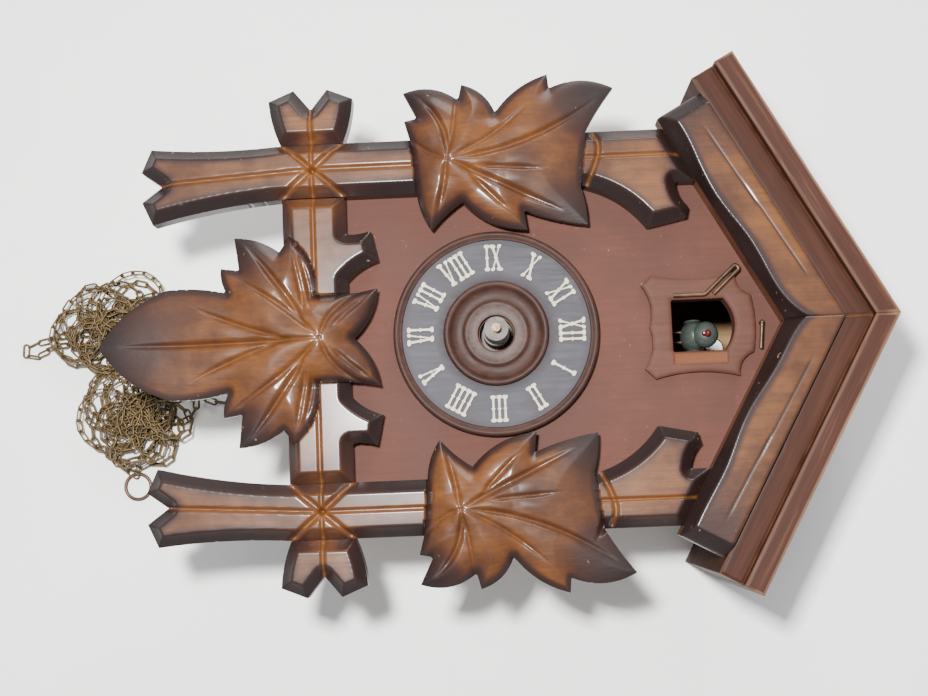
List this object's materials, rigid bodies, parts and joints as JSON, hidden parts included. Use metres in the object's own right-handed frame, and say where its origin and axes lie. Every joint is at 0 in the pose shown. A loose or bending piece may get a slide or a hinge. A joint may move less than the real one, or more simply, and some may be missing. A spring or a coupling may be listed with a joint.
{
  "type": "cuckoo clock",
  "caption": "Carved wooden cuckoo clock lying on its back, hands and door missing, with movement, bellows, bird and two loose chains in a heap.",
  "frame": {"origin": "centre of the hanging hole, in the back face of the back board", "axes": "+X to the clock's right, +Y up the clock towards the ridge, +Z out of the face; the clock lies on its back on Z = 0"},
  "size_m": [0.204, 0.361, 0.1181],
  "materials": {
    "case_wood": "matte red-brown stain",
    "raw_wood": "bare softwood",
    "roof_dark": "dark stain, satin",
    "roof_worn": "worn red-brown stain",
    "carved_wood": "lacquered, with darkened edges",
    "door_wood": "stained, raw in the rebate",
    "dial_brown": "turned, dark stain",
    "dial_grey": "weathered grey stain",
    "numeral_plastic": "cream, applied",
    "brass": "aged",
    "grey_metal": "dull, worn",
    "steel": "dull",
    "dark_wire": "browned",
    "chain_brass": "tarnished",
    "cast_iron": "black",
    "bird_paint": "painted grey-green",
    "beak_red": "red paint",
    "folds": "thin, pale"
  },
  "bodies": {
    "case": {"front_panel": "case_wood", "back_board": "raw_wood", "left_side": "raw_wood", "right_side": "raw_wood", "bottom_board": "raw_wood", "seat_board": "raw_wood", "whistle_boxes": "raw_wood", "left_roof": "roof_dark", "right_roof": "roof_dark", "left_roof_top": "roof_worn", "right_roof_top": "roof_worn", "left_trim": "carved_wood", "right_trim": "carved_wood", "left_branch": "carved_wood", "right_branch": "carved_wood", "bottom_branch": "carved_wood", "branch_stubs": "carved_wood", "left_leaf": "carved_wood", "right_leaf": "carved_wood", "bottom_leaf": "carved_wood", "door_surround": "door_wood", "dial_rim": "dial_brown", "centre_moulding": "dial_brown", "chapter_ring": "dial_grey", "numerals": "numeral_plastic", "front_plate": "brass", "back_plate": "brass", "pillars": "brass", "bird_bracket": "grey_metal", "gong": "steel", "back_nails": "steel", "chain_rings": "dark_wire", "weight_hooks": "dark_wire", "chain_inside": "chain_brass", "chain_leads": "chain_brass", "chain_heap": "chain_brass", "gong_base": "cast_iron", "bellows_folds": "folds"},
    "time_barrel": {"time_chain_wheel": "brass"},
    "centre": {"centre_arbor": "brass"},
    "third": {"third_wheel": "brass"},
    "escape": {"escape_wheel": "brass"},
    "minute": {"minute_wheel": "brass"},
    "hour": {"hour_wheel": "grey_metal"},
    "verge": {"verge": "steel", "pendulum_leader": "steel"},
    "strike_barrel": {"strike_chain_wheel": "brass"},
    "pins": {"pin_wheel": "brass"},
    "warning": {"warning_wheel": "brass"},
    "fly": {"fly": "brass"},
    "hammer": {"hammer": "steel"},
    "left_lever": {"left_bellows_lever": "steel"},
    "right_lever": {"right_bellows_lever": "steel"},
    "left_bellows": {"left_bellows_top": "raw_wood"},
    "right_bellows": {"right_bellows_top": "raw_wood"},
    "bird_arm": {"bird_carrier": "dark_wire", "bird_body": "bird_paint"},
    "beak": {"bird_beak": "beak_red"},
    "hinge_wire": {"door_hinge_wire": "dark_wire"},
    "latch": {"door_latch": "dark_wire"}
  },
  "joints": [
    {"name": "time_chain_wheel_turn", "type": "hinge", "parent": "case", "child": "time_barrel", "pos_m": [0.01401, -0.12185, 0.06], "axis": [0, 0, 1], "continuous": true},
    {"name": "centre_arbor_turn", "type": "hinge", "parent": "case", "child": "centre", "pos_m": [0, -0.096, 0.06], "axis": [0, 0, 1], "continuous": true},
    {"name": "third_wheel_turn", "type": "hinge", "parent": "case", "child": "third", "pos_m": [0.0102, -0.07833, 0.06], "axis": [0, 0, 1], "continuous": true},
    {"name": "escape_wheel_turn", "type": "hinge", "parent": "case", "child": "escape", "pos_m": [0.00001, -0.066, 0.06], "axis": [0, 0, 1], "continuous": true},
    {"name": "minute_wheel_turn", "type": "hinge", "parent": "case", "child": "minute", "pos_m": [0.00848, -0.10448, 0.083], "axis": [0, 0, 1], "continuous": true},
    {"name": "hour_wheel_turn", "type": "hinge", "parent": "case", "child": "hour", "pos_m": [0, -0.096, 0.095], "axis": [0, 0, 1], "continuous": true},
    {"name": "strike_chain_wheel_turn", "type": "hinge", "parent": "case", "child": "strike_barrel", "pos_m": [-0.02, -0.12, 0.06], "axis": [0, 0, 1], "continuous": true},
    {"name": "pin_wheel_turn", "type": "hinge", "parent": "case", "child": "pins", "pos_m": [-0.02498, -0.09174, 0.06], "axis": [0, 0, 1], "continuous": true},
    {"name": "warning_wheel_turn", "type": "hinge", "parent": "case", "child": "warning", "pos_m": [-0.01998, -0.07549, 0.06], "axis": [0, 0, 1], "continuous": true},
    {"name": "fly_turn", "type": "hinge", "parent": "case", "child": "fly", "pos_m": [-0.014, -0.06228, 0.06], "axis": [0, 0, 1], "continuous": true},
    {"name": "verge_swing", "type": "hinge", "parent": "case", "child": "verge", "pos_m": [0.00001, -0.05, 0.06], "axis": [0, 0, 1], "range_deg": [-4, 4]},
    {"name": "hammer_swing", "type": "hinge", "parent": "case", "child": "hammer", "pos_m": [-0.036, -0.07, 0.014], "axis": [0, 0, 1], "range_deg": [-14, 0]},
    {"name": "right_bellows_lever_turn", "type": "hinge", "parent": "case", "child": "right_lever", "pos_m": [0.038, -0.06, 0.078], "axis": [0, 0, 1], "range_deg": [0, 7]},
    {"name": "right_bellows_lift", "type": "hinge", "parent": "case", "child": "right_bellows", "pos_m": [0.0465, -0.0498, 0.063], "axis": [0, 0, 1], "range_deg": [0, 14]},
    {"name": "left_bellows_lever_turn", "type": "hinge", "parent": "case", "child": "left_lever", "pos_m": [-0.038, -0.06, 0.078], "axis": [0, 0, 1], "range_deg": [-7, 0]},
    {"name": "left_bellows_lift", "type": "hinge", "parent": "case", "child": "left_bellows", "pos_m": [-0.0465, -0.0498, 0.063], "axis": [0, 0, 1], "range_deg": [-14, 0]},
    {"name": "bird_swing", "type": "hinge", "parent": "case", "child": "bird_arm", "pos_m": [0.04, -0.03, 0.084], "axis": [0, 1, 0], "range_deg": [0, 36]},
    {"name": "beak_open", "type": "hinge", "parent": "bird_arm", "child": "beak", "pos_m": [0.00196, -0.0152, 0.08284], "axis": [1, 0, 0], "range_deg": [-4, 18]},
    {"name": "door_hinge_turn", "type": "hinge", "parent": "case", "child": "hinge_wire", "pos_m": [-0.0115, -0.022, 0.0979], "axis": [0, 1, 0], "range_deg": [0, 100]},
    {"name": "door_latch_turn", "type": "hinge", "parent": "case", "child": "latch", "pos_m": [0, 0.005, 0.096], "axis": [0, 0, 1], "range_deg": [-100, 5]}
  ],
  "couplings": [
    {"joint": "centre_arbor_turn", "follows": "time_chain_wheel_turn", "ratio": -6},
    {"joint": "third_wheel_turn", "follows": "time_chain_wheel_turn", "ratio": 45},
    {"joint": "escape_wheel_turn", "follows": "time_chain_wheel_turn", "ratio": -315},
    {"joint": "minute_wheel_turn", "follows": "time_chain_wheel_turn", "ratio": 2},
    {"joint": "hour_wheel_turn", "follows": "time_chain_wheel_turn", "ratio": -0.5},
    {"joint": "pin_wheel_turn", "follows": "strike_chain_wheel_turn", "ratio": -7.2},
    {"joint": "warning_wheel_turn", "follows": "strike_chain_wheel_turn", "ratio": 54},
    {"joint": "fly_turn", "follows": "strike_chain_wheel_turn", "ratio": -337.5},
    {"joint": "right_bellows_lift", "follows": "right_bellows_lever_turn", "ratio": 2},
    {"joint": "left_bellows_lift", "follows": "left_bellows_lever_turn", "ratio": 2}
  ]
}
